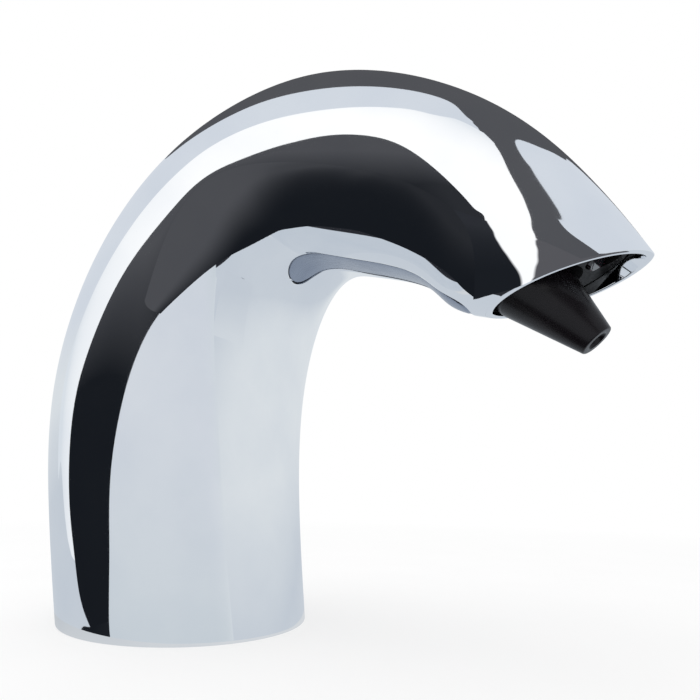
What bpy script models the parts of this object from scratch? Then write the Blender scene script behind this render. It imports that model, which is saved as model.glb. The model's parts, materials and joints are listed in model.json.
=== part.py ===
# Automatic soap dispenser: an arched, chrome-plated deck spout with its soap path and hand sensor.
# Metres, +Z up. The origin is on the deck, under the middle of the spout's footprint, and the beak
# points along +X. The spout is symmetric about the plane y = 0.

import math

import bmesh
import bpy
import numpy as np
from mathutils import Matrix, Vector

MM = 0.001

# Spout body
BASE_RADIUS = 26 * MM
BACK_REACH = 30.85 * MM
TIP_REACH = 93.5 * MM
ARCH_HEIGHT = 111 * MM
WALL = 0.1 * BASE_RADIUS
LIP_WALL = 0.03846 * BASE_RADIUS
GAP = 0.3 * MM
OVERRUN = 2 * MM

# Belly cover and the pocket that it lies in
COVER_WIDTH = 0.3615 * BASE_RADIUS
COVER_THICK = 0.03846 * BASE_RADIUS
COVER_STEP = 0.005769 * BASE_RADIUS
PRY_GAP = 0.03077 * BASE_RADIUS
SLOT_WIDTH = 0.1769 * BASE_RADIUS
CLIP_LENGTH = 0.077 * BASE_RADIUS
CLIP_HALF_WIDTH = 0.07308 * BASE_RADIUS

# Nozzle, measured back from its outlet along its own axis
# The nozzle and all behind it are sized for the mouth, by the smaller of its length and its width.
HEAD_SIZE = min(0.2917 * TIP_REACH, 1.049 * BASE_RADIUS)
NOZZLE_LEAN = 27.4
NOZZLE_SHARE = 0.363
NOZZLE_OUT = 0.429 * HEAD_SIZE
OUTLET_RADIUS = 0.05501 * HEAD_SIZE
NOZZLE_TIP_RADIUS = 0.1063 * HEAD_SIZE
NOZZLE_BASE_RADIUS = 0.253 * HEAD_SIZE
CONE_LENGTH = 0.5317 * HEAD_SIZE
COLLAR_LENGTH = 0.11 * HEAD_SIZE
SPIGOT_RADIUS = 0.1724 * HEAD_SIZE
SPIGOT_LENGTH = 0.22 * HEAD_SIZE
ORING_WIRE = 0.01834 * HEAD_SIZE
ORING_BACK = 0.11 * HEAD_SIZE

# Mouth insert, with the valve chamber behind the nozzle
BARREL_RADIUS = 0.264 * HEAD_SIZE
BARREL_LENGTH = 0.6784 * HEAD_SIZE
CHAMBER_DEPTH = 0.5391 * HEAD_SIZE
INLET_RADIUS = 0.121 * HEAD_SIZE
RETAINER_THICK = 0.044 * HEAD_SIZE
SEAT_THICK = 0.07334 * HEAD_SIZE
SEAT_HOLE_RADIUS = 0.06967 * HEAD_SIZE
POPPET_RADIUS = 0.1173 * HEAD_SIZE
POPPET_THICK = 0.04767 * HEAD_SIZE
STEM_RADIUS = 0.04034 * HEAD_SIZE
SPRING_WIRE = 0.011 * HEAD_SIZE
SPRING_RADIUS = 0.07701 * HEAD_SIZE
SPRING_TURNS = 3.5
SPRING_SPACE = 0.1173 * HEAD_SIZE

# Inlet barb, soap tube and hose clamp
BARB_RADIUS = 0.1063 * HEAD_SIZE
BARB_LENGTH = 0.2934 * HEAD_SIZE
BARB_FLANGE = 0.08067 * HEAD_SIZE
TUBE_BORE = 0.1192 * HEAD_SIZE
TUBE_RADIUS = 0.1613 * HEAD_SIZE
CLAMP_WIDTH = 0.1247 * HEAD_SIZE
CLAMP_BAND = 0.033 * HEAD_SIZE

# Hand sensor, behind its window near the beak's tip
SENSOR_RADIUS = 0.09168 * HEAD_SIZE
WINDOW_THICK = 0.04034 * HEAD_SIZE
HOUSING_LENGTH = 0.198 * HEAD_SIZE
DIODE_RADIUS = 0.02567 * HEAD_SIZE
DIODE_SPREAD = 0.04584 * HEAD_SIZE
DIODE_LENGTH = 0.08801 * HEAD_SIZE
LED_RADIUS = 0.01467 * HEAD_SIZE
LED_ACROSS = 0.05684 * HEAD_SIZE
BOARD_WIDTH = 0.2934 * HEAD_SIZE
BOARD_LENGTH = 0.1834 * HEAD_SIZE
BOARD_THICK = 0.02934 * HEAD_SIZE
CONNECTOR_WIDTH = 0.1613 * HEAD_SIZE
CONNECTOR_LENGTH = 0.11 * HEAD_SIZE
CONNECTOR_HEIGHT = 0.07334 * HEAD_SIZE
CABLE_RADIUS = 0.04767 * HEAD_SIZE
CLIP_SPACING = 0.2787 * HEAD_SIZE
CLIP_WALL = 0.04034 * HEAD_SIZE
CLIP_DEPTH = 0.132 * HEAD_SIZE

HANDLE_SHARE = 0.3

# Foot: base plate, gasket, mounting bush and screws
PLATE_THICK = 0.2692 * BASE_RADIUS
PLATE_SCREW_RADIUS = 0.7308 * BASE_RADIUS
LUG_WIDTH = 0.3077 * BASE_RADIUS
LUG_HEIGHT = 0.3462 * BASE_RADIUS
SCREW_RADIUS = 0.05769 * BASE_RADIUS
SCREW_HEAD_RADIUS = 0.1 * BASE_RADIUS
SCREW_HEAD_THICK = 0.06923 * BASE_RADIUS
SCREW_LENGTH = 0.5192 * BASE_RADIUS
INSERT_SCREW_RADIUS = 0.03667 * HEAD_SIZE
INSERT_HEAD_RADIUS = 0.06601 * HEAD_SIZE
INSERT_HEAD_THICK = 0.02934 * HEAD_SIZE
BOSS_RADIUS = 0.08067 * HEAD_SIZE
BOSS_CLEARANCE = 0.05501 * HEAD_SIZE
GASKET_INNER = 0.4692 * BASE_RADIUS
GASKET_OUTER = 0.5692 * BASE_RADIUS
GASKET_THICK = 0.05385 * BASE_RADIUS
BUSH_RADIUS = 0.3846 * BASE_RADIUS
BUSH_BORE = 0.3231 * BASE_RADIUS
BUSH_FLANGE_RADIUS = 0.4769 * BASE_RADIUS
BUSH_FLANGE_THICK = 0.06923 * BASE_RADIUS
GROMMET_THICK = 0.1923 * BASE_RADIUS
GROMMET_FLOOR = 0.1231 * BASE_RADIUS
TUBE_OFFSET = 0.08462 * BASE_RADIUS
CABLE_OFFSET = 0.2038 * BASE_RADIUS
CABLE_END = 0.03846 * BASE_RADIUS
PLUG_LENGTH = 0.2308 * BASE_RADIUS

COLUMN_X = (BACK_REACH - TIP_REACH) / 2

# The side view of the body at nine stations, from the foot over the arch to the mouth. Each row has
# the x as a share of the base radius and a share of the tip's reach, and the z as a share of the height.
BACK_LINE_SHARES = (
    (-1.0, 0, 0), (-1.15, 0, 0.216), (-1.135, 0, 0.455), (-0.61, 0, 0.703), (0, 0.102, 0.902),
    (0, 0.421, 1.0), (0, 0.733, 0.892), (0, 0.909, 0.7225), (0, 1.0, 0.584),
)
BELLY_LINE_SHARES = (
    (1.0, 0, 0), (0.905, 0, 0.183), (0.85, 0, 0.368), (0.88, 0, 0.544), (0, 0.304, 0.668),
    (0, 0.434, 0.654), (0, 0.578, 0.604), (0, 0.644, 0.552), (0, 0.717, 0.526),
)
HALF_WIDTH_SHARES = (1.0, 1.05, 1.1, 1.16, 1.13, 0.95, 0.76, 0.56, 0.365)
# How full the section is: a share of 0.5 is an ellipse, less is squarer and more is pointed.
FULLNESS_SHARES = (0.5, 0.47, 0.43, 0.41, 0.41, 0.43, 0.5, 0.57, 0.6)
# How far the widest place lies towards the back line, as a share of the section's half height.
LEAN_SHARES = (0, 0, 0, -0.03, -0.06, -0.09, -0.12, -0.1, 0)
STATIONS = len(BACK_LINE_SHARES) - 1
# How finely the shell's curves are divided
OUTER_RINGS = 48
INNER_RINGS = 32
AROUND = 36

# Places along the body, in stations
COVER_START = 3.72
COVER_END = 7.5
SLOT_START = 4.3
SLOT_END = 6.1
PRONG_INSET = 0.45
WALL_THINS_FROM = 6.8
INSERT_FRONT = 7.82
INSERT_BACK = 7.3
INSERT_SCREW_AT = 6.9
SENSOR_SHARE = 0.79


def natural_spline(values):
    """A function that reads a smooth curve through values, which stand at 0, 1, 2 and so on."""
    values = np.array(values, float)
    count = len(values)
    system = np.eye(count) * 4 + np.eye(count, k=1) + np.eye(count, k=-1)
    system[0] = system[-1] = 0
    system[0, 0] = system[-1, -1] = 1
    bends = np.zeros(count)
    bends[1:-1] = 6 * (values[2:] - 2 * values[1:-1] + values[:-2])
    bends = np.linalg.solve(system, bends)

    def read(t):
        i = min(max(int(t), 0), count - 2)
        f = t - i
        g = 1 - f
        straight = g * values[i] + f * values[i + 1]
        return straight + ((g**3 - g) * bends[i] + (f**3 - f) * bends[i + 1]) / 6

    return read


def side_line(shares):
    """The x and z curves of one line of the side view."""
    xs = natural_spline([COLUMN_X + a * BASE_RADIUS + b * TIP_REACH for a, b, c in shares])
    zs = natural_spline([c * ARCH_HEIGHT for a, b, c in shares])
    return lambda t: Vector((xs(t), 0, zs(t)))


back_at = side_line(BACK_LINE_SHARES)
belly_at = side_line(BELLY_LINE_SHARES)
half_width_at = natural_spline([share * BASE_RADIUS for share in HALF_WIDTH_SHARES])
fullness_at = natural_spline(FULLNESS_SHARES)
lean_at = natural_spline(LEAN_SHARES)


def wall_at(t):
    """The shell's wall, which thins towards the lip of the mouth."""
    share = max((t - WALL_THINS_FROM) / (STATIONS - WALL_THINS_FROM), 0)
    return WALL + (LIP_WALL - WALL) * share**2


def body_point(t, u, inset):
    """A point on the body's surface, or inset from it: u runs from -1 at the belly to 1 at the back."""
    back, belly = back_at(t), belly_at(t)
    half = (back - belly) / 2
    pointed = 1 + 2 * max(fullness_at(t) - 0.5, 0)
    half *= 1 - inset * pointed / half.length
    return (back + belly) / 2 + half * (u + lean_at(t) * (1 - u * u))


def section(t, inset, count):
    """The points of the body's section at station t, going round from the back line."""
    width = half_width_at(t) - inset
    points = []
    for step in range(count):
        angle = math.tau * step / count
        side = math.copysign(abs(math.sin(angle)) ** (2 * fullness_at(t)), math.sin(angle))
        point = body_point(t, math.cos(angle), inset)
        points.append(point + Vector((0, width * side, 0)))
    return points


def belly_point(t, y, inset):
    """A point on the underside, y away from the centreline and inset from the surface."""
    across = min(abs(y) / (half_width_at(t) - inset), 1)
    u = -math.sqrt(1 - across ** (1 / fullness_at(t)))
    return body_point(t, u, inset) + Vector((0, y, 0))


def beyond(t, distance):
    """The station that lies this far along the underside from station t."""
    step = 1 / 64
    return t + distance / (belly_at(t + step) - belly_at(t - step)).length * 2 * step


def belly_out(t):
    """The direction out of the underside at station t."""
    step = 1 / 64
    along = (belly_at(t + step) - belly_at(t - step)).normalized()
    return Vector((along.z, 0, -along.x))


def principled(name, colour, metallic, roughness):
    material = bpy.data.materials.new(name)
    material.use_nodes = True
    shader = material.node_tree.nodes["Principled BSDF"]
    shader.inputs["Base Color"].default_value = (*colour, 1)
    shader.inputs["Metallic"].default_value = metallic
    shader.inputs["Roughness"].default_value = roughness
    return material


def mesh_object(name, mesh, colour=(0.5, 0.5, 0.5), metallic=0.0, roughness=0.5, sharp=35):
    obj = bpy.data.objects.new(name, mesh)
    bpy.context.scene.collection.objects.link(obj)
    mesh.materials.append(principled(name, colour, metallic, roughness))
    mesh.shade_smooth()
    mesh.set_sharp_from_angle(angle=math.radians(sharp))
    return obj


def finish_bmesh(name, bm, place=None, **looks):
    """An object of this mesh. A place is its origin and turn, and leaves the shape where it is."""
    bmesh.ops.recalc_face_normals(bm, faces=bm.faces)
    mesh = bpy.data.meshes.new(name)
    bm.to_mesh(mesh)
    bm.free()
    obj = mesh_object(name, mesh, **looks)
    if place is not None:
        mesh.transform(place.inverted())
        obj.matrix_world = place
    return obj


def loft(name, rings, closed=False, **looks):
    """A skin over rings of points, with flat ends unless it closes on itself."""
    bm = bmesh.new()
    rows = [[bm.verts.new(point) for point in ring] for ring in rings]
    pairs = list(zip(rows, rows[1:]))
    if closed:
        pairs.append((rows[-1], rows[0]))
    for first, second in pairs:
        for i in range(len(first)):
            j = (i + 1) % len(first)
            bm.faces.new((first[i], first[j], second[j], second[i]))
    if not closed:
        bm.faces.new(rows[0])
        bm.faces.new(reversed(rows[-1]))
    return finish_bmesh(name, bm, **looks)


def placing(origin, axis):
    """The matrix that takes +Z to axis and 0 to origin."""
    return Matrix.Translation(origin) @ Vector((0, 0, 1)).rotation_difference(axis).to_matrix().to_4x4()


def turned(name, profile, origin, axis, sides=32, **looks):
    """A turned piece: profile is a closed list of (radius, distance along the axis) pairs."""
    bm = bmesh.new()
    points = [bm.verts.new((radius, 0, along)) for radius, along in profile]
    edges = [bm.edges.new((a, b)) for a, b in zip(points, points[1:] + points[:1])]
    bmesh.ops.spin(
        bm, geom=points + edges, cent=(0, 0, 0), axis=(0, 0, 1), angle=math.tau, steps=sides, use_merge=True
    )
    bmesh.ops.remove_doubles(bm, verts=bm.verts, dist=MM / 1000)
    bmesh.ops.recalc_face_normals(bm, faces=bm.faces)
    obj = finish_bmesh(name, bm, **looks)
    obj.matrix_world = placing(origin, axis)
    return obj


def rod(name, radius, start, end, sides=32, **looks):
    """A plain round rod between two points."""
    bm = bmesh.new()
    length = (end - start).length
    bmesh.ops.create_cone(
        bm, cap_ends=True, segments=sides, radius1=radius, radius2=radius, depth=length
    )
    obj = finish_bmesh(name, bm, **looks)
    obj.matrix_world = placing((start + end) / 2, (end - start).normalized())
    return obj


def box(name, size, centre, turn=0, **looks):
    """A box of the given size, turned about +Y."""
    bm = bmesh.new()
    bmesh.ops.create_cube(bm, size=1)
    bmesh.ops.scale(bm, vec=size, verts=bm.verts)
    obj = finish_bmesh(name, bm, **looks)
    obj.matrix_world = Matrix.Translation(centre) @ Matrix.Rotation(turn, 4, "Y")
    return obj


def combine(obj, other, operation):
    """Cuts other from obj, or joins it to obj, and keeps other only as a guide."""
    modifier = obj.modifiers.new(other.name, "BOOLEAN")
    modifier.operation = operation
    modifier.solver = "EXACT"
    modifier.object = other
    other.hide_render = True
    other.display_type = "WIRE"


def path_through(knots):
    """A smooth path, read from 0 to 1, through knots that are each a point and the direction there."""

    def read(share):
        place = share * (len(knots) - 1)
        i = min(int(place), len(knots) - 2)
        f = place - i
        (start, leaving), (end, arriving) = knots[i], knots[i + 1]
        reach = (end - start).length * HANDLE_SHARE
        near, far = start + leaving * reach, end - arriving * reach
        g = 1 - f
        return g**3 * start + 3 * g * g * f * near + 3 * g * f * f * far + f**3 * end

    return read


def sweep_rings(curve, radius, sides, steps):
    """Rings of points round a curve that lies in a plane of constant y."""
    rings = []
    for step in range(steps + 1):
        share = step / steps
        ahead = curve(min(share + 0.5 / steps, 1)) - curve(max(share - 0.5 / steps, 0))
        along = ahead.normalized()
        side = Vector((0, 1, 0))
        up = along.cross(side)
        angles = [math.tau * i / sides for i in range(sides)]
        centre = curve(share)
        rings.append([centre + radius * (math.cos(a) * side + math.sin(a) * up) for a in angles])
    return rings


# Axes of the nozzle and of the sensor
mouth_along = (back_at(STATIONS) - belly_at(STATIONS)).normalized()
mouth_up = Vector((-mouth_along.z, 0, mouth_along.x))
nozzle_in = Matrix.Rotation(math.radians(-NOZZLE_LEAN), 3, "Y") @ mouth_up
nozzle_mouth = belly_at(STATIONS).lerp(back_at(STATIONS), NOZZLE_SHARE)
outlet = nozzle_mouth - nozzle_in * NOZZLE_OUT
nozzle_across = Vector((nozzle_in.z, 0, -nozzle_in.x))
nozzle_turn = math.atan2(nozzle_in.x, nozzle_in.z)
sensor_mouth = belly_at(STATIONS).lerp(back_at(STATIONS), SENSOR_SHARE)

# Distances back from the outlet
collar_back = CONE_LENGTH + COLLAR_LENGTH
spigot_back = collar_back + SPIGOT_LENGTH
barrel_front = collar_back + GAP
chamber_back = barrel_front + CHAMBER_DEPTH
barrel_back = barrel_front + BARREL_LENGTH
chamber_radius = SPIGOT_RADIUS + GAP
seat_front = chamber_back - GAP - SEAT_THICK
poppet_back = seat_front - GAP
poppet_front = poppet_back - POPPET_THICK
spring_back = poppet_front - GAP / 3
spring_front = spring_back - SPRING_SPACE
retainer_back = spring_front - GAP / 3
retainer_front = retainer_back - RETAINER_THICK


def on_nozzle(distance):
    return outlet + nozzle_in * distance


def build_body():
    outer = [section(STATIONS * i / OUTER_RINGS, 0, AROUND) for i in range(OUTER_RINGS + 1)]
    stations = [STATIONS * i / INNER_RINGS for i in range(INNER_RINGS + 1)]
    inner = [section(t, wall_at(t), AROUND) for t in reversed(stations)]
    chrome = {"colour": (0.78, 0.8, 0.83), "metallic": 1.0, "roughness": 0.06}
    body = loft("spout_body", outer + inner, closed=True, **chrome)
    for lug in base_lugs():
        combine(body, lug, "UNION")
    for hole in base_lugs(hole=True):
        combine(body, hole, "DIFFERENCE")
    # The gap at the mouth end is wide enough for a blade, and lets the cover swing out.
    start, end = beyond(COVER_START, -GAP), beyond(COVER_END, PRY_GAP)
    depth = COVER_STEP + COVER_THICK + GAP
    pocket = belly_strip("belly_pocket", start, end, COVER_WIDTH / 2 + GAP, -OVERRUN, depth)
    combine(body, pocket, "DIFFERENCE")
    slot = belly_strip("belly_slot", SLOT_START, SLOT_END, SLOT_WIDTH / 2, -OVERRUN, WALL + OVERRUN)
    combine(body, slot, "DIFFERENCE")
    head = screw_head_inset()
    hole = (
        (0, -OVERRUN), (INSERT_HEAD_RADIUS + GAP, -OVERRUN), (INSERT_HEAD_RADIUS + GAP, head),
        (INSERT_SCREW_RADIUS + GAP, head + INSERT_HEAD_THICK),
        (INSERT_SCREW_RADIUS + GAP, WALL + OVERRUN), (0, WALL + OVERRUN),
    )
    screw_hole = turned("insert_screw_hole", hole, belly_at(INSERT_SCREW_AT), -belly_out(INSERT_SCREW_AT), 16)
    combine(body, screw_hole, "DIFFERENCE")
    return body


def screw_head_inset():
    """How far in from the underside the insert screw's head is: just under the pocket's floor."""
    return COVER_STEP + COVER_THICK + 2 * GAP


def base_lugs(hole=False):
    """The three lugs inside the column's foot that take the base screws, or the holes in them."""
    bottom = PLATE_THICK + GAP
    middle = bottom + LUG_HEIGHT / 2
    foot_share = middle / back_at(1).z
    reach = {
        90: half_width_at(foot_share) - WALL / 2,
        270: half_width_at(foot_share) - WALL / 2,
        180: COLUMN_X - back_at(foot_share).x - WALL / 2,
    }
    lugs = []
    for angle, far in reach.items():
        way = Vector((math.cos(math.radians(angle)), math.sin(math.radians(angle)), 0))
        if hole:
            foot = Vector((COLUMN_X, 0, bottom - OVERRUN)) + way * PLATE_SCREW_RADIUS
            top = foot + Vector((0, 0, SCREW_LENGTH - PLATE_THICK + 2 * OVERRUN))
            lug = rod(f"lug_hole_{angle}", SCREW_RADIUS + GAP, foot, top, 16)
        else:
            near = PLATE_SCREW_RADIUS - LUG_WIDTH / 2
            centre = Vector((COLUMN_X, 0, middle)) + way * (near + far) / 2
            lug = box(f"lug_{angle}", (far - near, LUG_WIDTH, LUG_HEIGHT), centre)
            lug.rotation_euler = (0, 0, math.radians(angle))
        lugs.append(lug)
    return lugs


def belly_strip(name, start, end, half_width, inset_out, inset_in, **looks):
    """A slot-shaped solid along the underside, between two insets from the surface."""
    samples = [start + (end - start) * i / 40 for i in range(41)]
    travelled = [0.0]
    for a, b in zip(samples, samples[1:]):
        travelled.append(travelled[-1] + (belly_at(b) - belly_at(a)).length)
    length = travelled[-1]
    round_share = 1 - math.cos(math.radians(12))
    turns = [half_width * (1 - math.cos(math.radians(a))) for a in (12, 30, 50, 70, 90)]
    middle = [half_width + (length - 2 * half_width) * i / 22 for i in range(1, 22)]
    places = turns + middle + [length - place for place in reversed(turns)]
    rings = []
    for place in places:
        t = float(np.interp(place, travelled, samples))
        rest = max(half_width - place, half_width - (length - place), 0)
        width = max(math.sqrt(max(half_width**2 - rest**2, 0)), half_width * round_share)
        across = [width * share for share in (-1, -0.6, 0, 0.6, 1)]
        outer = [belly_point(t, y, inset_out) for y in across]
        inner = [belly_point(t, y, inset_in) for y in reversed(across)]
        rings.append(outer + inner)
    return loft(name, rings, **looks)


def build_belly_cover():
    grey = {"colour": (0.42, 0.46, 0.53), "metallic": 0.8, "roughness": 0.25}
    inset_in = COVER_STEP + COVER_THICK
    pivot = Matrix.Translation(belly_at(COVER_START) - belly_out(COVER_START) * inset_in)
    grey["place"] = pivot
    cover = belly_strip("belly_cover", COVER_START, COVER_END, COVER_WIDTH / 2, COVER_STEP, inset_in, **grey)
    for number, t in enumerate((SLOT_START + PRONG_INSET, SLOT_END - PRONG_INSET)):
        out = belly_out(t)
        centre = belly_at(t) - out * (inset_in + CLIP_LENGTH / 2)
        size = (CLIP_LENGTH * 1.6, 2 * CLIP_HALF_WIDTH, CLIP_LENGTH + COVER_THICK)
        prong = box(f"cover_prong_{number}", size, centre, math.atan2(out.x, -out.z) * -1)
        combine(cover, prong, "UNION")
    return cover


def insert_screw_line(from_inset, to_inset):
    out = belly_out(INSERT_SCREW_AT)
    surface = belly_at(INSERT_SCREW_AT)
    return surface - out * from_inset, surface - out * to_inset


def boss_top():
    """How far in from the underside the insert screw's boss runs, to halfway into the barrel's wall."""
    from_nozzle = belly_at(INSERT_SCREW_AT) - outlet
    inward = -belly_out(INSERT_SCREW_AT)
    wall_middle = -(BARREL_RADIUS + chamber_radius) / 2
    return (wall_middle - from_nozzle.dot(nozzle_across)) / inward.dot(nozzle_across)


def build_mouth_insert():
    black = {"colour": (0.012, 0.012, 0.014), "roughness": 0.35}
    stations = [INSERT_FRONT + (INSERT_BACK - INSERT_FRONT) * i / 4 for i in range(5)]
    plug = loft("mouth_insert", [section(t, wall_at(t) + GAP, AROUND) for t in stations], **black)
    barrel_start = on_nozzle(barrel_front + RETAINER_THICK)
    combine(plug, rod("insert_barrel", BARREL_RADIUS, barrel_start, on_nozzle(barrel_back)), "UNION")
    start, end = insert_screw_line(WALL + BOSS_CLEARANCE, boss_top())
    combine(plug, rod("insert_boss", BOSS_RADIUS, start, end, 20), "UNION")
    start, end = insert_screw_line(WALL, boss_top() - GAP / 2)
    combine(plug, rod("insert_boss_hole", INSERT_SCREW_RADIUS + GAP, start, end, 16), "DIFFERENCE")
    front = on_nozzle(-OVERRUN)
    recess = rod("collar_recess", NOZZLE_BASE_RADIUS + GAP, front, on_nozzle(barrel_front))
    combine(plug, recess, "DIFFERENCE")
    chamber = rod("valve_chamber", chamber_radius, front, on_nozzle(chamber_back))
    combine(plug, chamber, "DIFFERENCE")
    inlet = rod("inlet_bore", INLET_RADIUS, front, on_nozzle(barrel_back + OVERRUN), 24)
    combine(plug, inlet, "DIFFERENCE")
    sensor_end = on_sensor(HOUSING_LENGTH + 5 * OVERRUN)
    opening = rod("sensor_opening", SENSOR_RADIUS + GAP, on_sensor(-OVERRUN), sensor_end)
    combine(plug, opening, "DIFFERENCE")
    room = 2 * BOARD_LENGTH
    size = (BOARD_LENGTH / 2 + GAP + room, BOARD_WIDTH + 2 * GAP, room)
    centre = on_sensor(sensor_places()[-1] - GAP + room / 2, (room - BOARD_LENGTH / 2 - GAP) / 2)
    combine(plug, box("board_room", size, centre, nozzle_turn), "DIFFERENCE")
    return plug


def build_nozzle():
    black = {"colour": (0.016, 0.013, 0.016), "roughness": 0.28}
    groove_front = collar_back + ORING_BACK - ORING_WIRE - GAP / 2
    groove_back = collar_back + ORING_BACK + ORING_WIRE + GAP / 2
    groove_radius = chamber_radius - 2 * ORING_WIRE - GAP
    profile = (
        (OUTLET_RADIUS, 0), (NOZZLE_TIP_RADIUS, 0), (NOZZLE_BASE_RADIUS, CONE_LENGTH),
        (NOZZLE_BASE_RADIUS, collar_back), (SPIGOT_RADIUS, collar_back),
        (SPIGOT_RADIUS, groove_front), (groove_radius, groove_front),
        (groove_radius, groove_back), (SPIGOT_RADIUS, groove_back),
        (SPIGOT_RADIUS, spigot_back), (OUTLET_RADIUS * 1.2, spigot_back),
        (OUTLET_RADIUS, CONE_LENGTH),
    )
    turned("nozzle", profile, outlet, nozzle_in, 36, **black)


def build_oring():
    ring_radius = chamber_radius - GAP / 2 - ORING_WIRE
    centre = collar_back + ORING_BACK
    angles = [math.tau * i / 8 for i in range(8)]
    profile = [(ring_radius + ORING_WIRE * math.cos(a), centre + ORING_WIRE * math.sin(a)) for a in angles]
    turned("nozzle_oring", profile, outlet, nozzle_in, 28, colour=(0.02, 0.02, 0.02), roughness=0.7)


def build_valve():
    steel = {"colour": (0.62, 0.62, 0.64), "metallic": 1.0, "roughness": 0.3}
    white = {"colour": (0.75, 0.75, 0.73), "roughness": 0.5}
    ring = SPIGOT_RADIUS
    retainer = (
        (SEAT_HOLE_RADIUS, retainer_front), (ring, retainer_front), (ring, retainer_back),
        (SEAT_HOLE_RADIUS, retainer_back),
    )
    turned("spring_retainer", retainer, outlet, nozzle_in, 28, **white)
    seat = (
        (SEAT_HOLE_RADIUS, seat_front), (ring, seat_front), (ring, seat_front + SEAT_THICK),
        (SEAT_HOLE_RADIUS, seat_front + SEAT_THICK),
    )
    turned("valve_seat", seat, outlet, nozzle_in, 28, colour=(0.05, 0.05, 0.05), roughness=0.6)
    nose = retainer_back - GAP
    tail = seat_front + SEAT_THICK
    poppet = (
        (0, nose), (STEM_RADIUS, nose), (STEM_RADIUS, poppet_front), (POPPET_RADIUS, poppet_front),
        (POPPET_RADIUS, poppet_back), (STEM_RADIUS, poppet_back), (STEM_RADIUS, tail), (0, tail),
    )
    turned("valve_poppet", poppet, outlet, nozzle_in, 24, **white)
    return build_spring(steel)


def build_spring(looks):
    """The valve spring: one unbroken helix round the poppet's nose."""
    steps = int(SPRING_TURNS * 12)
    place = placing(outlet, nozzle_in)
    length = spring_back - spring_front - 2 * SPRING_WIRE
    rings = []
    for step in range(steps + 1):
        share = step / steps
        angle = math.tau * SPRING_TURNS * share
        radial = Vector((math.cos(angle), math.sin(angle), 0))
        centre = radial * SPRING_RADIUS + Vector((0, 0, spring_front + SPRING_WIRE + length * share))
        around = [math.tau * i / 5 for i in range(5)]
        offsets = [math.cos(a) * radial + Vector((0, 0, math.sin(a))) for a in around]
        rings.append([place @ (centre + SPRING_WIRE * offset) for offset in offsets])
    return loft("valve_spring", rings, place=place, **looks)


def build_inlet_barb():
    brass = {"colour": (0.62, 0.47, 0.2), "metallic": 1.0, "roughness": 0.3}
    root = chamber_back + GAP
    flange = barrel_back + GAP
    start = flange + BARB_FLANGE
    end = start + BARB_LENGTH
    thread = INLET_RADIUS - GAP
    flange_radius = BARREL_RADIUS * 0.75
    profile = [(OUTLET_RADIUS, root), (thread, root), (thread, flange), (flange_radius, flange)]
    profile += [(flange_radius, start)]
    ridges = 3
    pitch = BARB_LENGTH / ridges
    neck = BARB_RADIUS * 0.86
    for ridge in range(ridges):
        profile += [(BARB_RADIUS, start + pitch * ridge), (neck, start + pitch * (ridge + 0.92))]
    profile += [(OUTLET_RADIUS, end)]
    turned("inlet_barb", profile, outlet, nozzle_in, 24, **brass)


def middle_of(t, share=0.5):
    return belly_at(t).lerp(back_at(t), share)


def along_body(t):
    step = 1 / 16
    return (middle_of(t + step) - middle_of(t - step)).normalized()


def tube_knots():
    """The soap tube's way from the barb over the arch and down to the foot."""
    start = on_nozzle(barrel_back + GAP + BARB_FLANGE + GAP)
    straight = on_nozzle(barrel_back + BARB_FLANGE + BARB_LENGTH + OVERRUN)
    foot = Vector((COLUMN_X + TUBE_OFFSET, 0, CABLE_END))
    down = Vector((0, 0, -1))
    knots = [(start, nozzle_in), (straight, nozzle_in)]
    for t, share in ((4.5, 0.5), (3.5, 0.46), (2.4, 0.46)):
        knots.append((middle_of(t, share), -along_body(t)))
    return knots + [(foot - down * 4 * TUBE_RADIUS, down), (foot, down)]


def tube_route():
    return path_through(tube_knots())


def build_soap_tube():
    route = tube_route()
    outer = sweep_rings(route, TUBE_RADIUS, 12, 42)
    inner = sweep_rings(route, TUBE_BORE, 12, 42)
    loft("soap_tube", outer + inner[::-1], closed=True, colour=(0.7, 0.72, 0.72), roughness=0.35)


def build_hose_clamp():
    steel = {"colour": (0.62, 0.62, 0.64), "metallic": 1.0, "roughness": 0.3}
    centre = barrel_back + GAP + BARB_FLANGE + BARB_LENGTH / 2
    near = TUBE_RADIUS + GAP
    far = near + CLAMP_BAND
    band = (
        (near, centre - CLAMP_WIDTH / 2), (far, centre - CLAMP_WIDTH / 2),
        (far, centre + CLAMP_WIDTH / 2), (near, centre + CLAMP_WIDTH / 2),
    )
    clamp = turned("hose_clamp", band, outlet, nozzle_in, 28, **steel)
    side = Vector((0, 1, 0))
    ear_foot = on_nozzle(centre) + side * (near + CLAMP_BAND / 2)
    ear = rod("clamp_ear", CLAMP_WIDTH / 2.4, ear_foot, ear_foot + side * CLAMP_WIDTH, 12)
    combine(clamp, ear, "UNION")


def on_sensor(depth, across=0.0, y=0.0):
    return sensor_mouth + nozzle_in * depth + nozzle_across * across + Vector((0, y, 0))


def sensor_front():
    """How far up the sensor's axis the insert's front face is, from the mouth."""
    low, high = belly_at(INSERT_FRONT), back_at(INSERT_FRONT)
    face = Vector((high.z - low.z, 0, low.x - high.x))
    return (low - sensor_mouth).dot(face) / nozzle_in.dot(face)


def sensor_places():
    """Along the sensor's axis: the window's front and back, the housing's, and the board's front."""
    window_front = sensor_front() + GAP
    window_back = window_front + WINDOW_THICK
    housing_front = window_back + GAP
    housing_back = housing_front + HOUSING_LENGTH
    return window_front, window_back, housing_front, housing_back, housing_back + GAP


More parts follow.
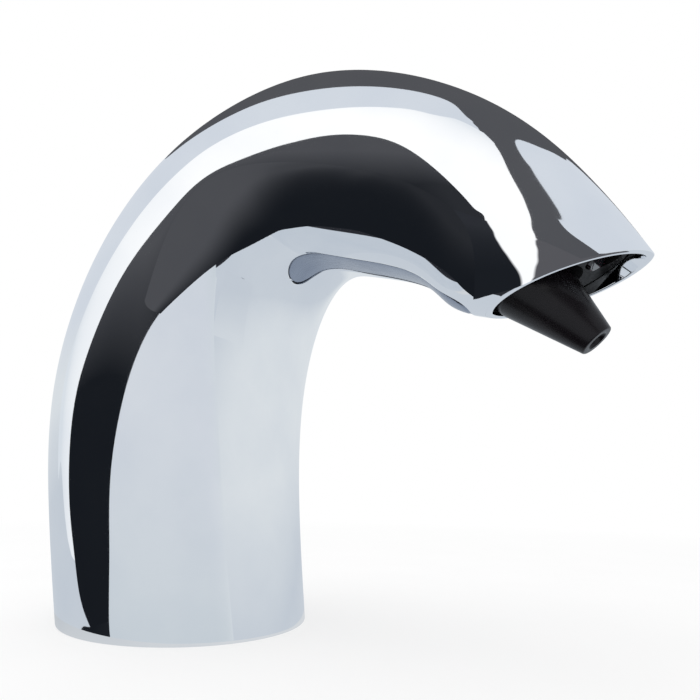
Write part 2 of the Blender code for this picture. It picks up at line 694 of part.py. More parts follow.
def build_sensor():
    window_front, window_back, housing_front, housing_back, board_front = sensor_places()
    rod("sensor_window", SENSOR_RADIUS, on_sensor(window_front), on_sensor(window_back), 28,
        colour=(0.05, 0.01, 0.015), roughness=0.05)
    housing = rod("sensor_housing", SENSOR_RADIUS, on_sensor(housing_front), on_sensor(housing_back), 28,
                  colour=(0.02, 0.02, 0.022), roughness=0.5)
    front, back = housing_front - OVERRUN, housing_back + OVERRUN
    diodes = (("ir_emitter", 1, (0.35, 0.4, 0.55)), ("ir_receiver", -1, (0.03, 0.03, 0.04)))
    for name, side, colour in diodes:
        y = side * DIODE_SPREAD
        hole = rod(name + "_hole", DIODE_RADIUS + GAP, on_sensor(front, 0, y), on_sensor(back, 0, y), 16)
        combine(housing, hole, "DIFFERENCE")
        foot = housing_back - GAP
        head = foot - DIODE_LENGTH
        dome = head - DIODE_RADIUS
        profile = (
            (0, dome), (DIODE_RADIUS * 0.7, dome + DIODE_RADIUS * 0.3), (DIODE_RADIUS, head),
            (DIODE_RADIUS, foot), (0, foot),
        )
        turned(name, profile, on_sensor(0, 0, y), nozzle_in, 16, colour=colour, roughness=0.2)
    hole = rod("led_hole", LED_RADIUS + GAP, on_sensor(front, -LED_ACROSS), on_sensor(back, -LED_ACROSS), 16)
    combine(housing, hole, "DIFFERENCE")
    rod("indicator_led", LED_RADIUS, on_sensor(housing_front + GAP, -LED_ACROSS),
        on_sensor(housing_back - GAP, -LED_ACROSS), 16, colour=(0.5, 0.05, 0.03), roughness=0.2)
    size = (BOARD_LENGTH, BOARD_WIDTH, BOARD_THICK)
    centre = on_sensor(board_front + BOARD_THICK / 2)
    box("sensor_board", size, centre, nozzle_turn, colour=(0.02, 0.16, 0.07))
    connector_front = board_front + BOARD_THICK + GAP
    size = (CONNECTOR_LENGTH, CONNECTOR_WIDTH, CONNECTOR_HEIGHT)
    centre = on_sensor(connector_front + CONNECTOR_HEIGHT / 2)
    box("board_connector", size, centre, nozzle_turn, colour=(0.8, 0.78, 0.7))
    return on_sensor(connector_front + CONNECTOR_HEIGHT + GAP)


def cable_route(start):
    """From the board's connector past the barrel, then beside the soap tube down to the foot."""
    knots = [(start, nozzle_in)]
    for point, along in tube_knots()[1:-2]:
        knots.append((point + Vector((along.z, 0, -along.x)) * CLIP_SPACING, along))
    foot = Vector((COLUMN_X - CABLE_OFFSET, 0, CABLE_END + PLUG_LENGTH + GAP))
    down = Vector((0, 0, -1))
    return path_through(knots + [(foot - down * 3 * CABLE_OFFSET, down), (foot, down)])


def build_cable(start):
    route = cable_route(start)
    rings = sweep_rings(route, CABLE_RADIUS, 8, 60)
    loft("sensor_cable", rings, colour=(0.03, 0.03, 0.03), roughness=0.6)
    top = route(1) - Vector((0, 0, GAP))
    bottom = top - Vector((0, 0, PLUG_LENGTH))
    rod("cable_plug", CABLE_RADIUS * 1.25, bottom, top, 16, colour=(0.75, 0.74, 0.68), roughness=0.5)


def build_tube_clips():
    for number, (centre, along) in enumerate(tube_knots()[2:-2]):
        across = Vector((along.z, 0, -along.x))
        half = along * CLIP_DEPTH / 2
        beside = centre + across * CLIP_SPACING
        white = {"colour": (0.72, 0.72, 0.7), "roughness": 0.5}
        tube_hole, cable_hole = TUBE_RADIUS + GAP, CABLE_RADIUS + GAP
        name = f"tube_clip_{number + 1}"
        clip = rod(name, tube_hole + CLIP_WALL, centre - half, centre + half, 24, **white)
        eye = rod(name + "_eye", cable_hole + CLIP_WALL, beside - half, beside + half, 16)
        combine(clip, eye, "UNION")
        tube_cut = rod(name + "_tube", tube_hole, centre - half * 2, centre + half * 2, 24)
        combine(clip, tube_cut, "DIFFERENCE")
        cable_cut = rod(name + "_cable", cable_hole, beside - half * 2, beside + half * 2, 16)
        combine(clip, cable_cut, "DIFFERENCE")


def build_foot():
    deck = Vector((COLUMN_X, 0, 0))
    up = Vector((0, 0, 1))
    grey = {"colour": (0.35, 0.36, 0.38), "metallic": 0.9, "roughness": 0.45}
    plate_radius = belly_at(PLATE_THICK / belly_at(1).z).x - COLUMN_X - WALL - GAP
    hole = BUSH_RADIUS + GAP
    groove = GASKET_THICK + GAP
    profile = (
        (hole, 0), (GASKET_INNER - GAP, 0), (GASKET_INNER - GAP, groove), (GASKET_OUTER + GAP, groove),
        (GASKET_OUTER + GAP, 0), (plate_radius, 0), (plate_radius, PLATE_THICK), (hole, PLATE_THICK),
    )
    plate = turned("base_plate", profile, deck, up, 48, **grey)
    gasket = (
        (GASKET_INNER, 0), (GASKET_OUTER, 0),
        (GASKET_OUTER, GASKET_THICK), (GASKET_INNER, GASKET_THICK),
    )
    turned("base_gasket", gasket, deck, up, 40, colour=(0.03, 0.03, 0.03), roughness=0.8)
    flange_top = PLATE_THICK + GAP + BUSH_FLANGE_THICK
    bush = (
        (BUSH_BORE, 0), (BUSH_RADIUS, 0), (BUSH_RADIUS, PLATE_THICK + GAP),
        (BUSH_FLANGE_RADIUS, PLATE_THICK + GAP), (BUSH_FLANGE_RADIUS, flange_top), (BUSH_BORE, flange_top),
    )
    brass = {"colour": (0.62, 0.47, 0.2), "metallic": 1.0, "roughness": 0.3}
    turned("mounting_bush", bush, deck, up, 40, **brass)
    grommet_top = GROMMET_FLOOR + GROMMET_THICK
    low, high = Vector((0, 0, GROMMET_FLOOR)), Vector((0, 0, grommet_top))
    grommet = rod("shank_grommet", BUSH_BORE - GAP, deck + low, deck + high, 36, colour=(0.04, 0.04, 0.04))
    tube_at = Vector((TUBE_OFFSET, 0, 0))
    cable_at = Vector((-CABLE_OFFSET, 0, 0))
    run = Vector((0, 0, OVERRUN))
    holes = (("grommet_tube", tube_at, TUBE_RADIUS), ("grommet_cable", cable_at, CABLE_RADIUS * 1.25))
    for name, place, radius in holes:
        start, end = deck + place + low - run, deck + place + high + run
        combine(grommet, rod(name, radius + GAP, start, end, 20), "DIFFERENCE")
    steel = {"colour": (0.62, 0.62, 0.64), "metallic": 1.0, "roughness": 0.3}
    for number, angle in enumerate((90, 180, 270)):
        way = Vector((math.cos(math.radians(angle)), math.sin(math.radians(angle)), 0)) * PLATE_SCREW_RADIUS
        seat = SCREW_HEAD_THICK + GAP
        cone = (
            (0, -OVERRUN), (SCREW_HEAD_RADIUS + GAP, -OVERRUN), (SCREW_HEAD_RADIUS + GAP, GAP),
            (SCREW_RADIUS + GAP, seat), (SCREW_RADIUS + GAP, PLATE_THICK + OVERRUN),
            (0, PLATE_THICK + OVERRUN),
        )
        combine(plate, turned(f"screw_seat_{angle}", cone, deck + way, up, 16), "DIFFERENCE")
        screw = (
            (0, GAP), (SCREW_HEAD_RADIUS, GAP), (SCREW_RADIUS, seat), (SCREW_RADIUS, SCREW_LENGTH),
            (0, SCREW_LENGTH + SCREW_RADIUS),
        )
        turned(f"base_screw_{number + 1}", screw, deck + way, up, 16, **steel)


def build_insert_screw():
    steel = {"colour": (0.62, 0.62, 0.64), "metallic": 1.0, "roughness": 0.3}
    head = screw_head_inset() + GAP / 6
    tip = boss_top() - GAP
    profile = (
        (0, head), (INSERT_HEAD_RADIUS, head), (INSERT_SCREW_RADIUS, head + INSERT_HEAD_THICK),
        (INSERT_SCREW_RADIUS, tip), (0, tip),
    )
    turned("insert_screw", profile, belly_at(INSERT_SCREW_AT), -belly_out(INSERT_SCREW_AT), 16, **steel)


def main():
    for obj in list(bpy.data.objects):
        bpy.data.objects.remove(obj)
    build_body()
    build_belly_cover()
    build_mouth_insert()
    build_nozzle()
    build_oring()
    build_valve()
    build_inlet_barb()
    build_soap_tube()
    build_hose_clamp()
    build_cable(build_sensor())
    build_tube_clips()
    build_foot()
    build_insert_screw()


main()
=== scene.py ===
import json
import math

import bmesh
import bpy
import numpy as np
from mathutils import Matrix, Vector


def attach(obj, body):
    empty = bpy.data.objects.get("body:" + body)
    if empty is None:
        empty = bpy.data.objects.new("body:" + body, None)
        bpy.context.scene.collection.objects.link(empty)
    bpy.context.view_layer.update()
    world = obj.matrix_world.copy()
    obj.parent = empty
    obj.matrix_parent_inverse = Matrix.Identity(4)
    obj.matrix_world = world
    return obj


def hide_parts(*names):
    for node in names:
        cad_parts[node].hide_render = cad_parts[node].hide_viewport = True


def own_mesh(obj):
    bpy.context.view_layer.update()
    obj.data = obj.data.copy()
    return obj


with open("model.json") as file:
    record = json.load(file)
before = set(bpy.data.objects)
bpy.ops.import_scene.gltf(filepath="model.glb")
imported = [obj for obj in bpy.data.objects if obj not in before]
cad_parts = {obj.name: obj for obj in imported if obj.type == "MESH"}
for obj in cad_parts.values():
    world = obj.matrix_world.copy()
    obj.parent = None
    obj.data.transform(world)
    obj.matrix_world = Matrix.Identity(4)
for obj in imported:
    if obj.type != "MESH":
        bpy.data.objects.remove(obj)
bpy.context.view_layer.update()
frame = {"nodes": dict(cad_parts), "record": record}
joints = {joint["name"]: joint for joint in frame["record"]["behaviour"]["joints"]}
mm = 0.001


# sRGB hex to linear RGBA
def linearColour(hexCode):
    parts = [int(hexCode[i:i + 2], 16) / 255 for i in (1, 3, 5)]
    return tuple(c / 12.92 if c <= 0.04045 else ((c + 0.055) / 1.055) ** 2.4 for c in parts) + (1.0,)


# links name the sockets that the node takes, values its settings or plain inputs
def addNode(tree, kind, links=None, **values):
    node = tree.nodes.new(kind)
    for key, value in values.items():
        if hasattr(node, key):
            setattr(node, key, value)
        else:
            node.inputs[key.replace("_", " ")].default_value = value
    for key, source in (links or {}).items():
        tree.links.new(source, node.inputs[key])
    return node


def newMaterial(name, **sockets):
    material = bpy.data.materials.new(name)
    material.use_nodes = True
    tree = material.node_tree
    shader = tree.nodes["Principled BSDF"]
    for key, value in sockets.items():
        shader.inputs[key.replace("_", " ")].default_value = value
    place = addNode(tree, "ShaderNodeTexCoord").outputs["Object"]
    return material, tree, shader, place


# size is in metres, about the width of one blotch
def noiseOn(tree, place, size, detail=3.0, stretch=None):
    if stretch:
        place = addNode(tree, "ShaderNodeMapping", {"Vector": place}, Scale=stretch).outputs["Vector"]
    noise = addNode(tree, "ShaderNodeTexNoise", {"Vector": place}, Scale=1 / size, Detail=detail)
    return noise.outputs["Fac"]


# spreads the middle of a noise, or another span, over low to high
def rangeOf(tree, source, low, high, fromLow=0.3, fromHigh=0.7):
    return addNode(tree, "ShaderNodeMapRange", {"Value": source}, From_Min=fromLow, From_Max=fromHigh,
                   To_Min=low, To_Max=high).outputs["Result"]


# from 0 to 1 between two places in mm
def between(tree, source, low, high):
    return rangeOf(tree, source, 0, 1, low * mm, high * mm)


def axisOf(tree, place, axis):
    return addNode(tree, "ShaderNodeSeparateXYZ", {"Vector": place}).outputs[axis]


def combined(tree, operation, first, second):
    return addNode(tree, "ShaderNodeMath", {0: first, 1: second}, operation=operation).outputs[0]


# colours are hex codes or sockets, and go to the colour sockets of the node, 6 and 7, with 2 as the result
def mixColours(tree, factor, first, second):
    mix = addNode(tree, "ShaderNodeMix", data_type="RGBA")
    tree.links.new(factor, mix.inputs[0])
    for socket, colour in ((mix.inputs[6], first), (mix.inputs[7], second)):
        if isinstance(colour, str):
            socket.default_value = linearColour(colour)
        else:
            tree.links.new(colour, socket)
    return mix.outputs[2]


def bumpFrom(tree, shader, height, strength, distance):
    bump = addNode(tree, "ShaderNodeBump", {"Height": height}, Strength=strength, Distance=distance)
    tree.links.new(bump.outputs["Normal"], shader.inputs["Normal"])


# the colour runs between two shades with one noise, and the roughness over a span with another
def finishWith(tree, shader, blotches, shades, marks, roughness):
    tree.links.new(mixColours(tree, rangeOf(tree, blotches, 0, 1), *shades), shader.inputs["Base Color"])
    tree.links.new(rangeOf(tree, marks, *roughness), shader.inputs["Roughness"])


# a plastic or rubber: two close shades in blotches, with a fine moulded grain
def mouldedMaterial(name, dark, light, roughness, grain, depth, **sockets):
    material, tree, shader, place = newMaterial(name, **sockets)
    blotches = noiseOn(tree, place, 6 * mm)
    fine = noiseOn(tree, place, grain, detail=5.0)
    finishWith(tree, shader, blotches, (dark, light), fine, roughness)
    bumpFrom(tree, shader, fine, 0.4, depth)
    return material


# a bare metal: faint blotches, and turning or drawing marks stretched along one direction
def metalMaterial(name, dark, light, roughness, grain, depth, stretch=(1, 1, 6)):
    material, tree, shader, place = newMaterial(name, Metallic=1.0)
    blotches = noiseOn(tree, place, 3 * mm)
    marks = noiseOn(tree, place, grain, detail=4.0, stretch=stretch)
    finishWith(tree, shader, blotches, (dark, light), marks, roughness)
    bumpFrom(tree, shader, marks, 0.3, depth)
    return material


# a natural cubic spline through values that are one station apart
def naturalSpline(values):
    values = np.array(values, float)
    count = len(values)
    system = np.eye(count) * 4 + np.eye(count, k=1) + np.eye(count, k=-1)
    system[0] = system[-1] = 0
    system[0, 0] = system[-1, -1] = 1
    bends = np.zeros(count)
    bends[1:-1] = 6 * (values[2:] - 2 * values[1:-1] + values[:-2])
    bends = np.linalg.solve(system, bends)

    def read(t):
        i = min(max(int(t), 0), count - 2)
        f = t - i
        g = 1 - f
        return g * values[i] + f * values[i + 1] + ((g**3 - g) * bends[i] + (f**3 - f) * bends[i + 1]) / 6
    return read


# merges the seams, points the faces outwards, and makes the object at the origin
def finishPiece(name, bm, material, body, merge=1e-6, sharp=35):
    bmesh.ops.remove_doubles(bm, verts=bm.verts, dist=merge)
    bmesh.ops.dissolve_degenerate(bm, edges=bm.edges, dist=merge / 4)
    bmesh.ops.recalc_face_normals(bm, faces=bm.faces)
    mesh = bpy.data.meshes.new(name)
    bm.to_mesh(mesh)
    bm.free()
    piece = bpy.data.objects.new(name, mesh)
    bpy.context.scene.collection.objects.link(piece)
    if material:
        mesh.materials.append(material)
    mesh.shade_smooth()
    mesh.set_sharp_from_angle(angle=math.radians(sharp))
    if body:
        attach(piece, body)
    return piece


# a grid of faces whose points are put by place(i, j)
def mappedGrid(across, along, place):
    bm = bmesh.new()
    bmesh.ops.create_grid(bm, x_segments=across, y_segments=along, size=1)
    for v in bm.verts:
        v.co = place(round((v.co.x + 1) / 2 * across), round((v.co.y + 1) / 2 * along))
    return bm


def joinWith(piece, tool, operation):
    modifier = piece.modifiers.new("join", "BOOLEAN")
    modifier.operation = operation
    modifier.solver = "EXACT"
    modifier.object = tool
    with bpy.context.temp_override(object=piece, active_object=piece):
        bpy.ops.object.modifier_apply(modifier=modifier.name)
    bpy.data.objects.remove(tool)


# spins a closed outline of (radius, distance) about +Z, then puts it in place
def turnedPiece(name, outline, place, material=None, body=None, steps=96, sharp=35):
    bm = bmesh.new()
    points = [bm.verts.new((radius, 0, along)) for radius, along in outline]
    edges = [bm.edges.new((a, b)) for a, b in zip(points, points[1:] + points[:1])]
    bmesh.ops.spin(bm, geom=points + edges, cent=(0, 0, 0), axis=(0, 0, 1), angle=math.tau,
                   steps=steps, use_merge=True)
    bmesh.ops.transform(bm, matrix=place, verts=bm.verts)
    return finishPiece(name, bm, material, body, sharp=sharp)


# rounds an outline of (radius, distance, roundness) corners
def roundedOutline(corners, segments=5):
    rounded = []
    for i, (r, z, size) in enumerate(corners):
        here = Vector((r, z))
        before = Vector(corners[i - 1][:2]) - here
        after = Vector(corners[(i + 1) % len(corners)][:2]) - here
        if not size:
            rounded.append((r, z))
            continue
        # stops short of half a side, so that two roundings don't meet
        most = min(before.length * 0.49, after.length * 0.49)
        reach = min(size / math.tan(before.angle(after) / 2), most)
        a, b = here + before.normalized() * reach, here + after.normalized() * reach
        for k in range(segments + 1):
            f = k / segments
            rounded.append(tuple((1 - f) ** 2 * a + 2 * f * (1 - f) * here + f * f * b))
    return rounded


# a matrix that turns +Z to a direction, with +Y kept as near as it can be
def facing(origin, direction):
    z = direction.normalized()
    y = Vector((0, 1, 0))
    x = y.cross(z).normalized()
    return Matrix.Translation(origin) @ Matrix((x, z.cross(x), z)).transposed().to_4x4()


def bevelledBox(size, place, edge):
    bm = bmesh.new()
    bmesh.ops.create_cube(bm, size=1, matrix=Matrix.Diagonal((*size, 1)))
    bmesh.ops.bevel(bm, geom=bm.edges[:], offset=edge, affect="EDGES", segments=3, profile=0.5, material=-1,
                    clamp_overlap=True)
    bmesh.ops.transform(bm, matrix=place, verts=bm.verts)
    return bm


# the spout's shape at nine stations from the foot over the arch to the mouth; each row of backLine and
# bellyLine gives shares of foot and of tip across, from the column's axis, and a share of the height
spout = {
    "foot": 26 * mm, "back": 30.85 * mm, "tip": 93.5 * mm, "height": 111 * mm,
    "wall": 2.6 * mm, "lip": 1.0 * mm, "wallThinsFrom": 6.8,
    "backLine": ((-1.0, 0, 0), (-1.15, 0, 0.216), (-1.135, 0, 0.455), (-0.61, 0, 0.703), (0, 0.102, 0.902),
                 (0, 0.421, 1.0), (0, 0.733, 0.892), (0, 0.909, 0.7225), (0, 1.0, 0.584)),
    "bellyLine": ((1.0, 0, 0), (0.905, 0, 0.183), (0.85, 0, 0.368), (0.88, 0, 0.544), (0, 0.304, 0.668),
                  (0, 0.434, 0.654), (0, 0.578, 0.604), (0, 0.644, 0.552), (0, 0.717, 0.526)),
    "halfWidth": (1.0, 1.05, 1.1, 1.16, 1.13, 0.95, 0.76, 0.56, 0.365),
    "fullness": (0.5, 0.47, 0.43, 0.41, 0.41, 0.43, 0.5, 0.57, 0.6),
    "lean": (0, 0, 0, -0.03, -0.06, -0.09, -0.12, -0.1, 0),
    "lipRound": 0.35 * mm, "footRound": 0.5 * mm,
    "outerRings": 230, "innerRings": 60, "roundRings": 5, "around": 144,
    "plateThick": 7.0 * mm, "lugWidth": 8.0 * mm, "lugHeight": 9.0 * mm, "lugHole": 1.8 * mm,
    "screwRadius": 19.0 * mm, "screwLength": 13.5 * mm, "gap": 0.3 * mm, "overrun": 2 * mm,
}
columnX = (spout["back"] - spout["tip"]) / 2
lastStation = len(spout["backLine"]) - 1
lugAngles = (90, 180, 270)


def sideLine(rows):
    xs = naturalSpline([columnX + a * spout["foot"] + b * spout["tip"] for a, b, c in rows])
    zs = naturalSpline([c * spout["height"] for a, b, c in rows])
    return lambda t: Vector((xs(t), 0, zs(t)))


backAt = sideLine(spout["backLine"])
bellyAt = sideLine(spout["bellyLine"])
halfWidthAt = naturalSpline([share * spout["foot"] for share in spout["halfWidth"]])
fullnessAt = naturalSpline(spout["fullness"])
leanAt = naturalSpline(spout["lean"])


def wallAt(t):
    share = max((t - spout["wallThinsFrom"]) / (lastStation - spout["wallThinsFrom"]), 0)
    return spout["wall"] + (spout["lip"] - spout["wall"]) * share**2


def sectionPoint(t, u, inset):
    back, belly = backAt(t), bellyAt(t)
    half = (back - belly) / 2
    pointed = 1 + 2 * max(fullnessAt(t) - 0.5, 0)
    half *= 1 - inset * pointed / half.length
    return (back + belly) / 2 + half * (u + leanAt(t) * (1 - u * u))


def skinPoint(t, angle, inset):
    side = math.copysign(abs(math.sin(angle)) ** (2 * fullnessAt(t)), math.sin(angle))
    return sectionPoint(t, math.cos(angle), inset) + Vector((0, (halfWidthAt(t) - inset) * side, 0))


def bellyPoint(t, y, inset):
    across = min(abs(y) / (halfWidthAt(t) - inset), 1)
    u = -math.sqrt(1 - across ** (1 / fullnessAt(t)))
    return sectionPoint(t, u, inset) + Vector((0, y, 0))


def bellyOut(t, step=1 / 64):
    along = (bellyAt(t + step) - bellyAt(t - step)).normalized()
    return Vector((along.z, 0, -along.x))


# the wall's outline, once round: (station, distance beyond it, inset)
def wallOutline():
    outline = []
    n = spout["roundRings"]
    foot, lip, rim = spout["footRound"], spout["lip"], spout["lipRound"]
    quarter = [math.pi / 2 * k / n for k in range(n + 1)]
    outline += [(0, foot * (1 - math.cos(a)), foot * (1 - math.sin(a))) for a in quarter]
    outline += [(lastStation * k / spout["outerRings"], 0, 0) for k in range(1, spout["outerRings"])]
    outline += [(lastStation, -rim * (1 - math.sin(a)), rim * (1 - math.cos(a))) for a in quarter]
    outline += [(lastStation, -rim * (1 - math.cos(a)), lip - rim + rim * math.sin(a)) for a in quarter]
    inner = [lastStation * (1 - k / spout["innerRings"]) for k in range(1, spout["innerRings"] + 1)]
    return outline + [(t, 0, wallAt(t)) for t in inner]


def buildSpout(material):
    outline = wallOutline()
    around = spout["around"]
    step = 1 / 32
    speeds = {}
    for j in range(around + 1):
        angle = math.tau * j / around
        for end, other in ((0, step), (lastStation, lastStation - step)):
            speeds[end, j] = (skinPoint(other, angle, 0) - skinPoint(end, angle, 0)).length / step

    def place(i, j):
        t, beyond, inset = outline[j % len(outline)]
        if beyond:
            t += beyond / speeds[t, i]
        return skinPoint(t, math.tau * i / around, inset)
    bm = mappedGrid(around, len(outline), place)
    shell = finishPiece("spoutShell", bm, material, "spout", merge=2e-6)
    for angle in lugAngles:
        joinWith(shell, screwLug(angle), "UNION")
    for angle in lugAngles:
        joinWith(shell, lugHole(angle), "DIFFERENCE")
    return shell


# a place inside the foot, out from the column's axis in one direction
def insideFoot(angle, radius, height):
    turn = Matrix.Rotation(math.radians(angle), 4, "Z")
    return Matrix.Translation((columnX, 0, height)) @ turn @ Matrix.Translation((radius, 0, 0))


# one of the three lugs inside the foot that take the base screws
def screwLug(angle):
    bottom = spout["plateThick"] + spout["gap"]
    middle = bottom + spout["lugHeight"] / 2
    t = middle / backAt(1).z
    far = halfWidthAt(t) - spout["wall"] / 2
    if angle == 180:
        far = columnX - backAt(t).x - spout["wall"] / 2
    near = spout["screwRadius"] - spout["lugWidth"] / 2
    size = Matrix.Diagonal((far - near, spout["lugWidth"], spout["lugHeight"], 1))
    bm = bmesh.new()
    bmesh.ops.create_cube(bm, size=1, matrix=insideFoot(angle, (near + far) / 2, middle) @ size)
    return finishPiece("lug", bm, None, None)


def lugHole(angle):
    low = spout["plateThick"] + spout["gap"] - spout["overrun"]
    high = low + spout["screwLength"] - spout["plateThick"] + 2 * spout["overrun"]
    radius = spout["lugHole"]
    bm = bmesh.new()
    bmesh.ops.create_cone(bm, cap_ends=True, segments=32, radius1=radius, radius2=radius, depth=high - low,
                          matrix=insideFoot(angle, spout["screwRadius"], (low + high) / 2))
    return finishPiece("lugHole", bm, None, None)


# the cover under the arch, the pocket that it lies in, and the slot for its prongs
cover = {
    "start": 3.72, "end": 7.5, "width": 9.4 * mm, "thick": 1.0 * mm, "step": 0.15 * mm,
    "gap": 0.3 * mm, "pryGap": 0.8 * mm, "edge": 0.25 * mm, "pocketEdge": 0.2 * mm,
    "ends": 12, "middle": 100, "acrossSteps": 10,
    "slotStart": 4.3, "slotEnd": 6.1, "slotWidth": 4.6 * mm, "prongInset": 0.45,
    "prongLength": 2.0 * mm, "prongHalfWidth": 1.9 * mm, "prongStretch": 1.6, "outside": 2 * mm,
    "tableBefore": 0.3, "tableSpan": 4.5, "tableSteps": 400,
}
# the distance travelled along the underside, tabled over a little more than the cover's length
tableStart = cover["start"] - cover["tableBefore"]
tableSteps = cover["tableSteps"]
stripStations = [tableStart + cover["tableSpan"] * k / tableSteps for k in range(tableSteps + 1)]
stripTravel = [0.0]
for before, after in zip(stripStations, stripStations[1:]):
    stripTravel.append(stripTravel[-1] + (bellyAt(after) - bellyAt(before)).length)


def travelTo(station):
    return float(np.interp(station, stripStations, stripTravel))


# a slot-shaped solid along the underside; section lists (share of the width, outset, inset), once round
def stripSolid(name, start, end, halfWidth, section, material=None, body=None):
    ends, middle = cover["ends"], cover["middle"]
    count = 2 * ends + middle

    def place(i, j):
        share, outset, inset = section[i % len(section)]
        reach = halfWidth + outset
        if j <= ends:
            turn = math.pi / 2 * j / ends
            travel, width = start + halfWidth - reach * math.cos(turn), reach * math.sin(turn)
        elif j >= ends + middle:
            turn = math.pi / 2 * (count - j) / ends
            travel, width = end - halfWidth + reach * math.cos(turn), reach * math.sin(turn)
        else:
            travel = start + halfWidth + (end - start - 2 * halfWidth) * (j - ends) / middle
            width = reach
        t = float(np.interp(travel, stripTravel, stripStations))
        return bellyPoint(t, share * width, inset)
    bm = mappedGrid(len(section), count, place)
    return finishPiece(name, bm, material, body, merge=4e-6, sharp=30)


# sides are the (outset, inset) points down one side, from the top to the bottom
def stripSection(sides):
    steps = cover["acrossSteps"]
    shares = [2 * k / steps - 1 for k in range(steps + 1)]
    down = [(1, outset, inset) for outset, inset in sides[1:-1]]
    up = [(-1, outset, inset) for outset, inset in reversed(sides[1:-1])]
    return ([(s, *sides[0]) for s in shares] + down + [(-s, *sides[-1]) for s in shares] + up)


def cutPocket(shell):
    start = travelTo(cover["start"]) - cover["gap"]
    end = travelTo(cover["end"]) + cover["pryGap"]
    depth = cover["step"] + cover["thick"] + cover["gap"]
    edge = cover["pocketEdge"]
    bend = edge * 0.3  # about where an arc between the two edges crosses its diagonal
    sides = [(edge, -cover["outside"]), (edge, 0), (bend, bend), (0, edge), (0, depth)]
    halfWidth = cover["width"] / 2 + cover["gap"]
    joinWith(shell, stripSolid("pocket", start, end, halfWidth, stripSection(sides)), "DIFFERENCE")
    start, end = travelTo(cover["slotStart"]), travelTo(cover["slotEnd"])
    sides = [(0, -cover["outside"]), (0, spout["wall"] / 2), (0, spout["wall"] + cover["outside"])]
    joinWith(shell, stripSolid("slot", start, end, cover["slotWidth"] / 2, stripSection(sides)), "DIFFERENCE")


def buildCover(material):
    start, end = travelTo(cover["start"]), travelTo(cover["end"])
    top, bottom, edge = cover["step"], cover["step"] + cover["thick"], cover["edge"]
    turns = [math.pi / 2 * k / 4 for k in range(5)]
    sides = [(-edge * (1 - math.sin(a)), top + edge * (1 - math.cos(a))) for a in turns]
    sides += [(0, bottom - edge / 2), (-edge / 2, bottom)]
    section = stripSection(sides)
    panel = stripSolid("coverPanel", start, end, cover["width"] / 2, section, material, "cover_body")
    for t in (cover["slotStart"] + cover["prongInset"], cover["slotEnd"] - cover["prongInset"]):
        joinWith(panel, coverProng(t, bottom, edge), "UNION")
    return panel


# one of the two prongs that hold the cover in the slot: it starts halfway into the panel
def coverProng(t, bottom, edge):
    out = bellyOut(t)
    length = cover["prongLength"]
    centre = bellyAt(t) - out * (bottom + length / 2)
    size = (length * cover["prongStretch"], 2 * cover["prongHalfWidth"], length + cover["thick"])
    return finishPiece("prong", bevelledBox(size, facing(centre, -out), edge), None, None)


# the screw under the cover, and the hole for it through the pocket's floor
insertScrew = {"station": 6.9, "headIn": 1.75 * mm, "headRadius": 1.8 * mm, "headThick": 0.8 * mm,
               "shankRadius": 1.0 * mm}


def cutScrewHole(shell):
    gap, over = spout["gap"], spout["overrun"]
    head, wide = insertScrew["headIn"], insertScrew["headRadius"] + gap
    shank = insertScrew["shankRadius"] + gap
    outline = ((0, -over), (wide, -over), (wide, head), (shank, head + insertScrew["headThick"]),
               (shank, spout["wall"] + over), (0, spout["wall"] + over))
    place = facing(bellyAt(insertScrew["station"]), -bellyOut(insertScrew["station"]))
    joinWith(shell, turnedPiece("screwHole", outline, place, steps=48), "DIFFERENCE")


# the conical nozzle, measured back from its outlet, with a groove for its ring in the spigot
nozzle = {
    "outlet": 1.5 * mm, "tip": 2.9 * mm, "base": 6.9 * mm, "cone": 14.5 * mm, "collar": 17.5 * mm,
    "spigot": 4.7 * mm, "end": 23.5 * mm, "chamber": 5.0 * mm,
    "ringBack": 3.0 * mm, "ringWire": 0.5 * mm, "ringPlay": 0.15 * mm, "grooveRoom": 0.3 * mm,
    "tipRound": 0.35 * mm, "baseRound": 0.6 * mm, "smallRound": 0.2 * mm,
    "countersink": 0.5 * mm, "countersinkSpread": 0.6, "boreFlare": 1.2,
}
outlet = Vector(joints["nozzle_turn"]["pos_m"])
nozzleIn = -Vector(joints["nozzle_turn"]["axis"]).normalized()
alongNozzle = facing(outlet, nozzleIn)


def buildNozzle(material):
    n = nozzle
    front = n["collar"] + n["ringBack"] - n["ringWire"] - n["ringPlay"]
    back = n["collar"] + n["ringBack"] + n["ringWire"] + n["ringPlay"]
    groove = n["chamber"] - 2 * n["ringWire"] - n["grooveRoom"]
    small = n["smallRound"]
    corners = [
        (n["outlet"] + n["countersink"] * n["countersinkSpread"], 0, 0), (n["tip"], 0, n["tipRound"]),
        (n["base"], n["cone"], n["baseRound"]), (n["base"], n["collar"], small),
        (n["spigot"], n["collar"], 0), (n["spigot"], front, 0), (groove, front, 0), (groove, back, 0),
        (n["spigot"], back, 0), (n["spigot"], n["end"], small),
        (n["outlet"] * n["boreFlare"], n["end"], small), (n["outlet"], n["cone"], 0),
        (n["outlet"], n["countersink"], 0),
    ]
    return turnedPiece("nozzleCone", roundedOutline(corners), alongNozzle, material, "nozzle_body", sharp=40)


# the finishes
def chromePlate():
    # bright plating: faint milky wiping marks and the slow ripple of a polished casting
    material, tree, shader, place = newMaterial("chromePlate", Metallic=1.0)
    haze = noiseOn(tree, place, 14 * mm, detail=4.0)
    ripple = noiseOn(tree, place, 22 * mm, detail=1.0)
    finishWith(tree, shader, haze, ("#f3f5f8", "#fafbfc"), haze, (0.02, 0.045))
    bumpFrom(tree, shader, ripple, 0.15, 0.02 * mm)
    return material


